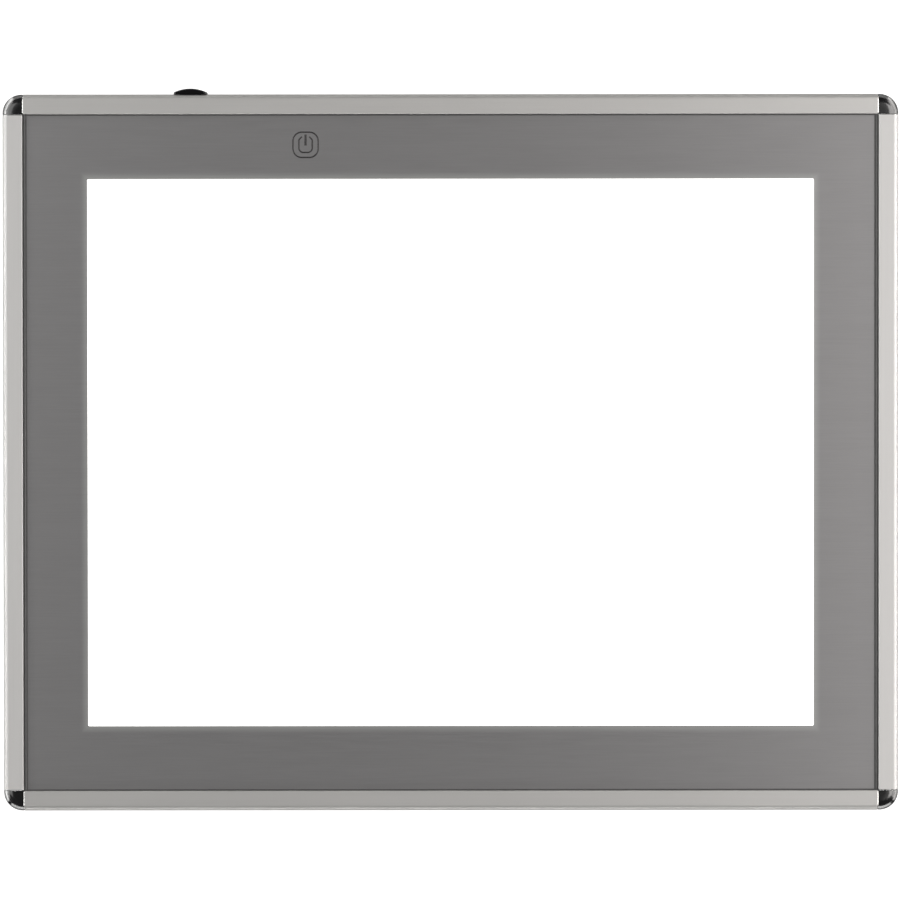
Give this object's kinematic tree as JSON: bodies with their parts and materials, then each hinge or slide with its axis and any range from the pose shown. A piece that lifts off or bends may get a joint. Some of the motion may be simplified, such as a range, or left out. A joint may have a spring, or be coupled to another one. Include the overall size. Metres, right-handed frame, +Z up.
{
  "type": "light box",
  "caption": "Slim edge-lit drawing light box: flat lit window in a metal-effect bezel, aluminium rim, corner caps, touch key and rear power inlet.",
  "frame": {"origin": "on the table, under the middle of the outline with the inlet's boss included", "axes": "+X along the long side, to the right as the user sees it; +Y to the rear, where the power inlet is; +Z up, the way the lit face looks"},
  "size_m": [0.375, 0.3024, 0.0095],
  "materials": {
    "anodised_aluminium": "satin clear anodised",
    "cap_plastic": "gloss black",
    "screw_steel": "black oxide",
    "opal_acrylic": "opal white, lit from behind",
    "metal_effect_film": "satin film printed as brushed metal",
    "black_rubber": "matte",
    "foam_tape": "matte black",
    "white_film": "matte white",
    "clear_acrylic": "clear, polished edges",
    "black_abs": "fine moulded texture",
    "led_board": "white solder mask",
    "circuit_board": "green solder mask",
    "chip_epoxy": "moulded epoxy",
    "ferrite": "dull",
    "tantalum_case": "moulded",
    "white_nylon": "satin",
    "phosphor_bronze": "bare",
    "copper": "bare",
    "inlet_plastic": "gloss black",
    "nickel_plated_brass": "nickel plated",
    "red_wire": "PVC insulation",
    "black_wire": "PVC insulation",
    "white_wire": "PVC insulation",
    "grey_abs": "fine moulded texture",
    "label_film": "satin silver, blank"
  },
  "bodies": {
    "root": {"rail_front": "anodised_aluminium", "rail_rear": "anodised_aluminium", "rail_left": "anodised_aluminium", "rail_right": "anodised_aluminium", "corner_cap_front_left": "cap_plastic", "corner_cap_front_right": "cap_plastic", "corner_cap_rear_right": "cap_plastic", "corner_cap_rear_left": "cap_plastic", "corner_screw_1": "screw_steel", "corner_screw_2": "screw_steel", "corner_screw_3": "screw_steel", "corner_screw_4": "screw_steel", "corner_screw_5": "screw_steel", "corner_screw_6": "screw_steel", "corner_screw_7": "screw_steel", "corner_screw_8": "screw_steel", "front_panel": "opal_acrylic", "bezel_overlay": "metal_effect_film", "panel_gasket": "black_rubber", "foot_front_left": "black_rubber", "foot_front_right": "black_rubber", "foot_rear_right": "black_rubber", "foot_rear_left": "black_rubber", "panel_tape": "foam_tape", "reflector_sheet": "white_film", "diffuser_sheet": "white_film", "light_guide": "clear_acrylic", "mid_frame": "black_abs", "led_strip_front": "led_board", "led_strip_rear": "led_board", "control_board": "circuit_board", "touch_chip": "chip_epoxy", "driver_chip": "chip_epoxy", "power_inductor": "ferrite", "filter_capacitor": "tantalum_case", "led_connector": "white_nylon", "power_connector": "white_nylon", "touch_spring": "phosphor_bronze", "touch_electrode": "copper", "jack_bezel": "inlet_plastic", "jack_body": "inlet_plastic", "jack_pin": "nickel_plated_brass", "jack_spring_contact": "nickel_plated_brass", "wire_power_red": "red_wire", "wire_power_black": "black_wire", "wire_led_front": "white_wire", "wire_led_rear": "white_wire", "back_cover": "grey_abs", "rating_label": "label_film"}
  },
  "joints": []
}
